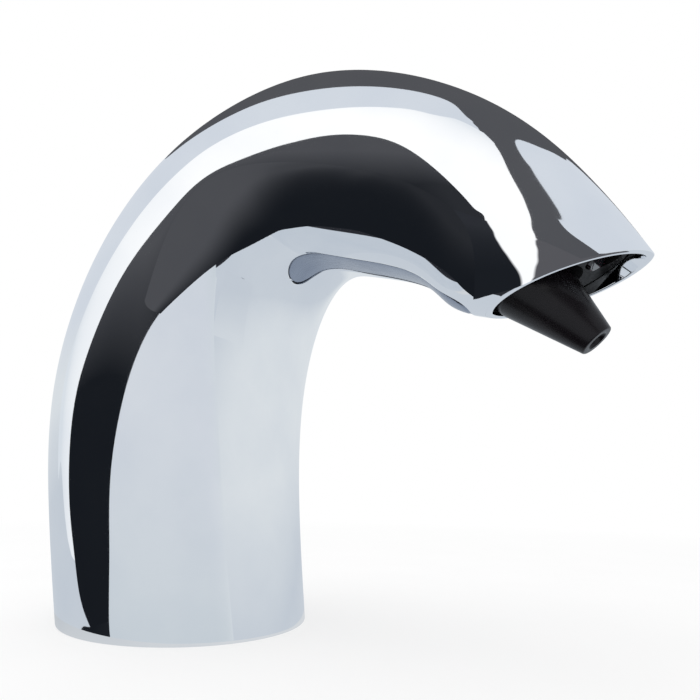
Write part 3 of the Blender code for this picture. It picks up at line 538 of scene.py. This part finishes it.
def coverMetal():
    # satin plating, bluer and duller than the spout, with a fine brushed grain along the cover
    material, tree, shader, place = newMaterial("coverMetal", Metallic=1.0)
    blotches = noiseOn(tree, place, 8 * mm)
    grain = noiseOn(tree, place, 0.35 * mm, detail=4.0, stretch=(0.12, 1, 0.3))
    finishWith(tree, shader, blotches, ("#9ba3b2", "#a9b1be"), grain, (0.24, 0.34))
    bumpFrom(tree, shader, grain, 0.2, 0.01 * mm)
    return material


def smokedWindow():
    # deep red-black infrared filter, polished, with a faint cast of its own
    material, tree, shader, place = newMaterial("smokedWindow", Coat_Weight=0.6, Coat_Roughness=0.02)
    blotches = noiseOn(tree, place, 1.5 * mm)
    finishWith(tree, shader, blotches, ("#0e0508", "#16070b"), blotches, (0.05, 0.1))
    return material


def circuitBoard():
    # green solder mask over copper runs, which show as paler squares and lines
    material, tree, shader, place = newMaterial("circuitBoard", Coat_Weight=0.3, Coat_Roughness=0.2)
    bricks = addNode(tree, "ShaderNodeTexBrick", {"Vector": place}, Scale=1 / mm, Mortar_Size=0.03)
    runs = bricks.outputs["Fac"]
    blotches = noiseOn(tree, place, 1 * mm)
    mask = mixColours(tree, rangeOf(tree, blotches, 0, 1), "#0b3d22", "#0f4a2a")
    tree.links.new(mixColours(tree, runs, mask, "#2c7a4c"), shader.inputs["Base Color"])
    tree.links.new(rangeOf(tree, blotches, 0.3, 0.45), shader.inputs["Roughness"])
    bumpFrom(tree, shader, runs, 0.3, 0.03 * mm)
    return material


finishes = {
    "chrome_body": chromePlate(),
    "grey_cover": coverMetal(),
    # satin moulded nozzle: near black with a hint of plum, and a soft grain
    "nozzle": mouldedMaterial("nozzlePlastic", "#0a070a", "#110d11", (0.24, 0.34), 0.25 * mm, 0.01 * mm,
                              Specular_IOR_Level=0.28),
    # insert: plain black plastic, a little duller than the nozzle
    "black_plastic": mouldedMaterial("blackPlastic", "#060506", "#0b0a0b", (0.4, 0.55), 0.4 * mm, 0.02 * mm,
                                     Specular_IOR_Level=0.15),
    "dark_window": smokedWindow(),
    # emitter: pale blue-grey cast epoxy
    "emitter_epoxy": mouldedMaterial("emitterEpoxy", "#8f9cb8", "#a3aec6", (0.08, 0.16), 0.8 * mm, 0.01 * mm,
                                     Transmission_Weight=0.4),
    # receiver: black filter epoxy, glossy
    "receiver_epoxy": mouldedMaterial("receiverEpoxy", "#0a0a0d", "#121217", (0.08, 0.16), 0.8 * mm,
                                      0.01 * mm),
    # indicator: red tinted epoxy
    "led_epoxy": mouldedMaterial("ledEpoxy", "#8f120c", "#a81a12", (0.1, 0.2), 0.6 * mm, 0.01 * mm,
                                 Transmission_Weight=0.3),
    "circuit_board": circuitBoard(),
    # connector: cream nylon with mould blotches
    "connector_plastic": mouldedMaterial("connectorNylon", "#cfc9b2", "#ded8c4", (0.4, 0.55), 0.3 * mm,
                                         0.02 * mm),
    # cable: matt black jacket with a drawn grain
    "cable_sheath": mouldedMaterial("cableSheath", "#121212", "#1d1d1e", (0.55, 0.7), 0.2 * mm, 0.03 * mm),
    # clips and valve parts: natural white nylon
    "white_plastic": mouldedMaterial("whiteNylon", "#d2d1cb", "#e2e1dc", (0.4, 0.55), 0.3 * mm, 0.02 * mm,
                                     Subsurface_Weight=0.1),
    # turned brass, a little tarnished
    "brass": metalMaterial("turnedBrass", "#b08a45", "#c9a55c", (0.22, 0.38), 0.3 * mm, 0.02 * mm),
    # zinc-plated steel
    "steel": metalMaterial("platedSteel", "#a6a8ab", "#bcbec0", (0.22, 0.36), 0.25 * mm, 0.015 * mm),
    # matt black rubber with dusty blotches
    "black_rubber": mouldedMaterial("blackRubber", "#131313", "#212121", (0.7, 0.85), 0.3 * mm, 0.05 * mm),
    # milky clear hose
    "clear_tube": mouldedMaterial("clearHose", "#c9d0d2", "#dde2e3", (0.2, 0.32), 1.0 * mm, 0.02 * mm,
                                  Transmission_Weight=0.35),
    # base plate: sandy die-cast zinc, with no direction to its grain
    "plate_metal": metalMaterial("castZinc", "#6c6e72", "#808286", (0.4, 0.58), 0.5 * mm, 0.06 * mm,
                                 stretch=(1, 1, 1)),
}


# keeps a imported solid's shape and gives it its finish
def finishNode(name, slotName):
    node = frame["nodes"][name]
    node.data.materials.clear()
    node.data.materials.append(finishes[slotName])


for subpart in frame["record"]["subparts"]:
    finishNode(subpart["node"], subpart["material_slot"])
print("packed solids finished")


# gives the valve's spring, between poppet and retainer, a mesh of its own
def squeezeSpring():
    spring, slide = frame["nodes"]["valve_spring"], joints["valve_slide"]
    along = Vector(slide["axis"])
    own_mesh(spring)


squeezeSpring()

spoutShell = buildSpout(finishes["chrome_body"])
cutPocket(spoutShell)
cutScrewHole(spoutShell)
spoutShell.data.set_sharp_from_angle(angle=math.radians(35))
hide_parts("spout_body")
print("spout made", len(spoutShell.data.polygons))

coverPanel = buildCover(finishes["grey_cover"])
coverPanel.data.set_sharp_from_angle(angle=math.radians(35))
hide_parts("belly_cover")
print("cover made", len(coverPanel.data.polygons))

nozzleCone = buildNozzle(finishes["nozzle"])
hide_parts("nozzle")
nozzleCone.visible_glossy = False  # keeps its mirror image off the column
print("nozzle made", len(nozzleCone.data.polygons))


# floor, lamps, studio and camera: the floor turns from lit paper to plain white between two distances, and
# each lamp has a place, a width and a power
studio = {
    "floorSize": 3.0, "floorGlow": 0.7, "clearFrom": 0.12, "clearTo": 0.45, "daylight": "#e6e6e6",
    "lamps": (
        ("overheadSoftbox", (-0.15, -0.1, 0.55), 0.5, 1.2),
        ("sideSoftbox", (0.45, -0.4, 0.3), 0.35, 0.6),
    ),
    "lampsAimAt": (0, 0, 0.05),
}


# white paper that keeps the object's shadow near the foot and fades into the backdrop further out
def buildFloor():
    bm = bmesh.new()
    bmesh.ops.create_grid(bm, x_segments=1, y_segments=1, size=studio["floorSize"] / 2)
    material, tree, shader, place = newMaterial("paleFloor", Roughness=0.9, Specular_IOR_Level=0.1)
    paper = rangeOf(tree, noiseOn(tree, place, 40 * mm), 0, 1)
    tree.links.new(mixColours(tree, paper, "#f2f2f2", "#f7f7f7"), shader.inputs["Base Color"])
    glow = addNode(tree, "ShaderNodeEmission", Strength=1.0)
    away = addNode(tree, "ShaderNodeVectorMath", {0: place}, operation="LENGTH").outputs["Value"]
    clear = rangeOf(tree, away, studio["floorGlow"], 1, studio["clearFrom"], studio["clearTo"])
    seen = addNode(tree, "ShaderNodeLightPath").outputs["Is Camera Ray"]
    share = combined(tree, "MULTIPLY", seen, clear)
    both = addNode(tree, "ShaderNodeMixShader", {0: share, 1: shader.outputs[0], 2: glow.outputs[0]})
    tree.links.new(both.outputs[0], tree.nodes["Material Output"].inputs["Surface"])
    floor = finishPiece("floor", bm, material, None)
    floor.visible_glossy = False


def addLamps():
    for name, place, size, power in studio["lamps"]:
        light = bpy.data.lights.new(name, "AREA")
        light.size = size
        light.energy = power
        lamp = bpy.data.objects.new(name, light)
        bpy.context.scene.collection.objects.link(lamp)
        lamp.matrix_world = facing(Vector(place), Vector(place) - Vector(studio["lampsAimAt"]))
        lamp.visible_glossy = False


# place is measured from the foot's middle, angles in degrees, focal and centre in pixels of the photograph
view = {
    "place": (92.7 * mm, -104.4 * mm, 27.3 * mm), "yaw": 30.8, "pitch": 10.5, "roll": 1.0,
    "focal": 600, "centre": (310, 380), "image": 700, "sensor": 36,
}


def addCamera():
    camera = bpy.data.objects.new("camera", bpy.data.cameras.new("camera"))
    bpy.context.scene.collection.objects.link(camera)
    bpy.context.scene.camera = camera
    yaw, pitch, roll = (math.radians(view[key]) for key in ("yaw", "pitch", "roll"))
    forward = Vector((-math.sin(yaw) * math.cos(pitch), math.cos(yaw) * math.cos(pitch), math.sin(pitch)))
    right = Vector((math.cos(yaw), math.sin(yaw), 0))
    up = right.cross(forward)
    turned = Matrix((right * math.cos(roll) + up * math.sin(roll),
                     up * math.cos(roll) - right * math.sin(roll), -forward)).transposed()
    place = Vector(view["place"]) + Vector((columnX, 0, 0))
    camera.matrix_world = Matrix.Translation(place) @ turned.to_4x4()
    lens = camera.data
    lens.sensor_width = view["sensor"]
    lens.lens = view["focal"] * view["sensor"] / view["image"]
    lens.shift_x = 0.5 - view["centre"][0] / view["image"]
    lens.shift_y = view["centre"][1] / view["image"] - 0.5
    lens.clip_start = 0.01


# The cards that the chrome mirrors: flat shapes that only reflections see, in mm across and up on their own
# sheet, which stands away mm in front of the object's middle. The shade changes over fade mm across the turn
# line, or from side to side. crown lowers it towards the top, least keeps it up towards the right, and flush
# blends it into a colour, each between two places in mm.
frontCards = {
    "whiteCard": {
        "away": 62, "side": (-200, 20), "crown": (125, 280, 0.4), "shades": ("#d6dce2", "#ffffff"),
        "outline": (
            (-320, 20), (-200, 30), (-110, 0), (60, 40), (80, 80), (100, 110), (125, 170), (150, 230),
            (180, 300), (186, 326), (142, 325), (112, 292), (92, 255), (73, 227), (56, 211), (40, 188),
            (18, 156), (0, 134), (-22, 112), (-60, 99), (-200, 97), (-320, 85),
        ),
    },
    "blackFlag": {
        "away": 61.5, "fade": 28, "shades": ("#171a1f", "#4b4c50"), "least": (12, 40, 0.25),
        "turn": (
            (-120, 63), (-49, 63), (-40, 62), (-30, 60), (-18, 58), (-8, 60), (-2, 66), (2, 72), (6, 74),
            (14, 77), (25, 81), (35, 84), (60, 84),
        ),
        "outline": (
            (-60, -12), (-86, -7), (-98, 4), (-110, 20), (-100, 45), (-80, 58), (-60, 67), (-40, 74),
            (-20, 77), (-6, 79), (0, 88), (10, 103), (23, 109), (33, 105), (42, 91), (47.8, 74),
            (49.2, 66), (48.3, 58), (20, 20), (-20, -10),
        ),
    },
    "greyStrip": {
        "away": 61.2, "side": (0, 1), "shades": ("#505155", "#505155"),
        "outline": (
            (58, 48), (64, 57), (70, 68), (76.5, 80), (82.5, 92), (88.5, 104), (94.5, 118), (101.5, 135),
            (109, 152), (130, 200), (146, 240), (165, 300), (265, 600), (325, 600), (214, 300),
            (187, 240), (160, 197), (131, 152), (117.5, 128), (106.5, 109), (99.8, 97), (98.4, 89),
            (106, 86), (118, 79), (128, 66), (130, 50), (90, 40),
        ),
    },
    "floorFlag": {
        "away": 61, "side": (-60, 0), "shades": ("#171a1f", "#25282d"),
        "outline": (
            (-60, -10), (-78, -14), (-100, -24), (-130, -45), (-200, -80), (-400, -165), (-600, -260),
            (-610, -500), (-600, -800), (-200, -810), (140, -800), (150, -500), (150, -250), (145, -100),
            (120, -40), (80, -10), (0, 0),
        ),
    },
    "paleCard": {
        "away": 60.5, "turn": ((-600, 14), (600, 14)), "fade": 56, "shades": ("#c3cbd1", "#ced3da"),
        "flush": ("#cfd5da", 120, 600),
        "outline": (
            (-40.5, 0), (-39, 12), (-38, 28), (-30, 43), (-16, 52), (0, 55), (20, 55.5), (40, 55),
            (52, 55), (62, 58), (80, 60), (120, 60), (180, 62), (240, 66), (320, 74), (480, 92),
            (600, 106), (620, 40), (600, -60), (480, -46), (360, -33), (240, -24), (100, -15), (0, -12),
            (-30, -12), (-40, -10),
        ),
    },
}
# the cards over and under the object: outlines as shares of their height, which is in mm, and shades that
# run along slope's axis between two places
farCards = {
    "ceilingFlag": {
        "height": 3000, "slope": ("Y", -2000, 0), "shades": ("#505155", "#505155"),
        "outline": (
            (-1.05, 0.47), (-0.68, 0), (-0.38, -0.14), (-0.16, -0.14), (0.07, 0.05), (0.17, 0.12),
            (0.26, 0.1), (0.38, -0.04), (0.5, -0.16), (0.77, -0.58), (1.07, -1.03), (1.44, -1.72),
            (1.6, -1.5), (0.98, -0.44), (0.81, -0.22), (0.62, 0.02), (0.56, 0.21), (0.55, 0.4),
            (0.51, 0.59), (0.45, 0.82), (0.35, 1.14), (0.2, 2.2), (-0.5, 2.6), (-1.0, 1.6), (-1.1, 1.0),
        ),
    },
    "darkGround": {
        "height": -3000, "slope": ("Y", -2000, 0), "shades": ("#1c1f24", "#2a2b30"),
        "outline": (
            (-1.05, 0.26), (-1.25, 0), (-1.3, -1), (-1.3, -4), (-1.2, -8), (3.4, -8), (3.9, -5),
            (4.1, -3.1), (4.0, -1.6), (3.4, -0.36), (2.3, 0.2), (1.2, 0.24), (0.4, 0.24), (-0.4, 0.24),
        ),
    },
}
# Shelves that stand out from the flank of the arch and from the mouth's lip, as inner and outer edges in mm:
# they keep the pale card out of the arch and of the beak, and their own shades are painted reflections: the
# dark band that the arch's underside and the lip show. The inner edge runs inside mm into the part. start,
# end
# and most are curves along the arch: where the painted shade begins and stops to change, in mm out from the
# spout's middle, and how far it gets, in percent.
chinFlag = {
    "inside": 1.5, "reach": -60.2, "shades": ("#16191e", "#4b4c50"),
    "edge": (
        (-18.3, -25.8, 59.5), (-15.1, -24.2, 63.2), (-12.1, -22.3, 66.9), (-9.3, -20, 70.3),
        (-6.6, -17.4, 73.1), (-3.6, -15.2, 75.4), (-0.5, -14.7, 76.4), (2.7, -14.5, 76.4),
        (8, -14.9, 75.6), (12.7, -14.7, 74.4), (16.9, -14.1, 73.1), (20.8, -12.9, 71.3),
        (24.5, -11.8, 69.3), (28.2, -11.2, 66.8), (31.3, -10.4, 64.3), (32.8, -9.1, 62.7),
        (33.7, -7.7, 61.5), (35.1, -6.1, 60.2),
    ),
    "start": (
        (-18.3, 25), (-12, 20), (-8, 18), (-5, 17), (-2, 16), (1.5, 17), (4.5, 19), (8, 20), (16, 22),
        (22, 20), (26, 16), (29, 12), (32, 9), (35.1, 8),
    ),
    "end": (
        (-18.3, 31), (-12, 27), (-8, 25), (-4, 26), (-1.5, 29), (0, 33), (3, 40), (4.5, 46), (7.5, 58),
        (10.5, 56), (14, 50), (18, 54), (22.5, 54), (25.5, 46), (28.5, 36), (31.5, 27), (35.1, 23),
    ),
    "most": (
        (-18.3, 100), (-4, 100), (0, 92), (3, 68), (7.5, 60), (10.5, 47), (13.5, 40), (16.5, 28),
        (19.5, 24), (22.5, 20), (28, 20), (35.1, 21),
    ),
}
# darkEdge and paleEdge are the places along the arch where the lip's painted reflection changes shade, by the
# distance out
lipFlag = {
    "inside": 1.0, "reach": -60.2, "fade": (12, 40), "crisp": 0.25,
    "shades": ("#1a1d22", "#2c2e33", "#ffffff", "#56565a"),
    "edge": (
        (34.7, -6.5, 60), (40, -8.5, 60), (44, -9.3, 60), (48, -9.5, 60.3), (52, -9, 61),
        (56, -7.5, 61.5), (60, -4, 62),
    ),
    "outer": ((34.7, 60), (48, 60), (58, 60), (68, 60), (78, 60), (88, 61), (100, 62)),
    "darkEdge": (
        (0, 43.4), (9.6, 43.2), (14.4, 42.1), (17, 41.8), (20, 41.6), (24, 41.8), (28.5, 42.3), (36, 44),
        (47, 46.3), (61, 49.8),
    ),
    "paleEdge": (
        (0, 45), (9.3, 45.1), (12.4, 45.7), (14.7, 46.6), (18.2, 47.7), (24, 49.9), (34.4, 54), (61, 67),
    ),
}
# how far out distances on the shelves are told apart, in mm: a little past their outer edges
shelfReach = 61
# a patch just off the column that only reflections see, so that the column shows its painted shades in place
# of the cover's slot: a painted reflection, darker towards the top
columnReflectionCard = {
    "stations": (2.74, 3.42), "angles": (-148, -163), "clear": 0.3, "shades": ("#d5dade", "#c1c8d0"),
    "slope": ("Z", 52, 66), "steps": 12,
}
# a pale disc just under the foot and a little wider, for the reflections at the rim
footCard = {
    "radius": 30.5, "below": 0.02, "shades": ("#bcc1c6", "#d2d5d8"), "slope": ("X", -60, 0), "steps": 64,
}
# the room that reflections see: its shades from below to above, and the heights between which they change
surround = {
    "shades": ("#c2c9d1", "#d5dade", "#cfd5dd"), "heights": ((-0.06, 0.1), (0.16, 0.3)), "strength": 1.08,
}


# a closed smooth line through the points, which starts over past its last one
def smoothLoop(points, steps=6):
    count = len(points)
    wrapped = [points[k % count] for k in range(-3, count + 4)]
    across, up = (naturalSpline([point[axis] for point in wrapped]) for axis in (0, 1))
    return [(across(3 + k / steps), up(3 + k / steps)) for k in range(count * steps)]


# a card's material gives off its colour and takes no light
def glowWith(tree, colour):
    tree.nodes.remove(tree.nodes["Principled BSDF"])
    glow = addNode(tree, "ShaderNodeEmission", {"Color": colour}, Strength=surround["strength"])
    tree.links.new(glow.outputs[0], tree.nodes["Material Output"].inputs["Surface"])


# shadeFrom gives a socket from 0 to 1 that runs between the two shades
def cardMaterial(name, shades, shadeFrom, flush=None):
    material, tree, shader, place = newMaterial(name)
    seen = mixColours(tree, shadeFrom(tree, place), *shades)
    if flush:
        colour, low, high = flush
        seen = mixColours(tree, between(tree, axisOf(tree, place, "X"), low, high), seen, colour)
    glowWith(tree, seen)
    return material


def hideFromEyes(card):
    card.visible_camera = card.visible_diffuse = card.visible_transmission = card.visible_shadow = False


def addCard(name, points, material):
    bm = bmesh.new()
    corners = [bm.verts.new(point) for point in points]
    edges = [bm.edges.new((a, b)) for a, b in zip(corners, corners[1:] + corners[:1])]
    bmesh.ops.edgenet_fill(bm, edges=edges)
    hideFromEyes(finishPiece(name, bm, material, None))


# a value in mm along a card, as a curve of the place across it
def curveOver(tree, across, points, most=200):
    low, high = points[0][0], points[-1][0]
    curve = addNode(tree, "ShaderNodeFloatCurve", {"Value": between(tree, across, low, high)})
    line = curve.mapping.curves[0]
    spots = [((x - low) / (high - low), value / most) for x, value in points]
    for spot in spots[1:-1]:
        line.points.new(*spot)
    for knot, spot in zip(line.points, spots):
        knot.location = spot
    curve.mapping.update()
    return rangeOf(tree, curve.outputs["Value"], 0, most * mm, 0, 1)


def frontShade(card):
    def build(tree, place):
        across, up = axisOf(tree, place, "X"), axisOf(tree, place, "Z")
        if "side" in card:
            shade = between(tree, across, *card["side"])
        else:
            half = card["fade"] / 2 * mm
            past = combined(tree, "SUBTRACT", up, curveOver(tree, across, card["turn"]))
            shade = rangeOf(tree, past, 0, 1, -half, half)
        if "least" in card:
            low, high, least = card["least"]
            lowest = rangeOf(tree, across, 0, least, low * mm, high * mm)
            shade = combined(tree, "MAXIMUM", shade, lowest)
        if "crown" in card:
            low, high, least = card["crown"]
            crown = rangeOf(tree, up, 1, least, low * mm, high * mm)
            shade = combined(tree, "MULTIPLY", shade, crown)
        return shade
    return build


# the shade runs along one axis, between two places in mm
def slopeShade(axis, low, high):
    return lambda tree, place: between(tree, axisOf(tree, place, axis), low, high)


# how far out from the spout's middle a place on a shelf lies
def distanceOut(tree, place):
    edge = shelfReach * mm
    return rangeOf(tree, axisOf(tree, place, "Y"), edge, 0, -edge, 0)


# painted reflection of the arch's dark band: near black beside the flank and greyer further out,
# sooner at the column's end than at the mouth's
def chinReflectionShade(tree, place):
    across = axisOf(tree, place, "X")
    start, end, most = (curveOver(tree, across, chinFlag[key]) for key in ("start", "end", "most"))
    share = addNode(tree, "ShaderNodeMapRange",
                    {"Value": distanceOut(tree, place), "From Min": start, "From Max": end},
                    interpolation_type="SMOOTHSTEP")
    percent = rangeOf(tree, most, 0, 1, 0, 100 * mm)
    return combined(tree, "MULTIPLY", share.outputs[0], percent)


# the lip's painted reflection: dark, then white, then dark again from the arch to the tip of the beak
def lipReflectionMaterial():
    material, tree, shader, place = newMaterial("lipFlag")
    across, out, crisp = axisOf(tree, place, "X"), distanceOut(tree, place), lipFlag["crisp"]
    near, far, *bands = lipFlag["shades"]
    seen = mixColours(tree, between(tree, out, *lipFlag["fade"]), near, far)
    for edge, shade in zip(("darkEdge", "paleEdge"), bands):
        past = combined(tree, "SUBTRACT", across, curveOver(tree, out, lipFlag[edge]))
        seen = mixColours(tree, between(tree, past, -crisp, crisp), seen, shade)
    glowWith(tree, seen)
    return material


def addShelf(name, inner, outer, material, steps=4):
    edges = [[naturalSpline([point[axis] for point in line]) for axis in range(3)] for line in (inner, outer)]

    def place(i, j):
        return Vector([curve(i / steps) for curve in edges[j]]) * mm
    hideFromEyes(finishPiece(name, mappedGrid(steps * (len(inner) - 1), 1, place), material, None))


def addFrontCards():
    for name, card in frontCards.items():
        points = [(x * mm, -card["away"] * mm, z * mm) for x, z in smoothLoop(card["outline"])]
        addCard(name, points, cardMaterial(name, card["shades"], frontShade(card), card.get("flush")))


def addFarCards():
    for name, card in farCards.items():
        height = card["height"] * mm
        points = [(abs(height) * x, abs(height) * y, height) for x, y in smoothLoop(card["outline"])]
        addCard(name, points, cardMaterial(name, card["shades"], slopeShade(*card["slope"])))


# the shelves whose shades are the painted reflections of the arch's underside and of the lip
def addShelves():
    inner = [(x, y + chinFlag["inside"], z) for x, y, z in chinFlag["edge"]]
    outer = [(x, chinFlag["reach"], z) for x, y, z in chinFlag["edge"]]
    addShelf("chinFlag", inner, outer, cardMaterial("chinFlag", chinFlag["shades"], chinReflectionShade))
    inner = [(x, y + lipFlag["inside"], z) for x, y, z in lipFlag["edge"]]
    outer = [(x, lipFlag["reach"], z) for x, z in lipFlag["outer"]]
    addShelf("lipFlag", inner, outer, lipReflectionMaterial())


# the column's painted reflection: a patch of the skin's shape, set just outside it
def addColumnReflectionCard():
    steps = columnReflectionCard["steps"]
    spans = (columnReflectionCard["stations"], columnReflectionCard["angles"])

    def place(i, j):
        t, angle = (a + (b - a) * k / steps for (a, b), k in zip(spans, (i, j)))
        return skinPoint(t, math.radians(angle), -columnReflectionCard["clear"] * mm)
    material = cardMaterial("columnReflectionCard", columnReflectionCard["shades"], slopeShade(*columnReflectionCard["slope"]))
    hideFromEyes(finishPiece("columnReflectionCard", mappedGrid(steps, steps, place), material, None))


def addFootCard():
    radius, low, steps = footCard["radius"] * mm, -footCard["below"] * mm, footCard["steps"]
    turns = [math.tau * k / steps for k in range(steps)]
    ring = [(columnX + radius * math.cos(a), radius * math.sin(a), low) for a in turns]
    addCard("footCard", ring, cardMaterial("footCard", footCard["shades"], slopeShade(*footCard["slope"])))


# white behind the object, a pale grey room in reflections, a little lighter at eye level, and plain daylight
# on everything else
def addStudio():
    world = bpy.data.worlds.new("studio")
    world.use_nodes = True
    bpy.context.scene.world = world
    tree = world.node_tree
    background = tree.nodes["Background"]
    rays = addNode(tree, "ShaderNodeLightPath").outputs
    up = axisOf(tree, addNode(tree, "ShaderNodeTexCoord").outputs["Generated"], "Z")
    below, above = (rangeOf(tree, up, 0, 1, *heights) for heights in surround["heights"])
    plain = mixColours(tree, rays["Is Camera Ray"], studio["daylight"], "#ffffff")
    room = mixColours(tree, above, mixColours(tree, below, *surround["shades"][:2]), surround["shades"][2])
    seen = mixColours(tree, rays["Is Glossy Ray"], plain, room)
    seen = mixColours(tree, rays["Is Transmission Ray"], seen, "#ffffff")
    strength = rangeOf(tree, rays["Is Glossy Ray"], 1, surround["strength"], 0, 1)
    tree.links.new(seen, background.inputs["Color"])
    tree.links.new(strength, background.inputs["Strength"])


buildFloor()
addLamps()
addCamera()
addFrontCards()
addFarCards()
addShelves()
addColumnReflectionCard()
addFootCard()
addStudio()
bpy.context.scene.view_settings.view_transform = "Standard"
print("studio made")
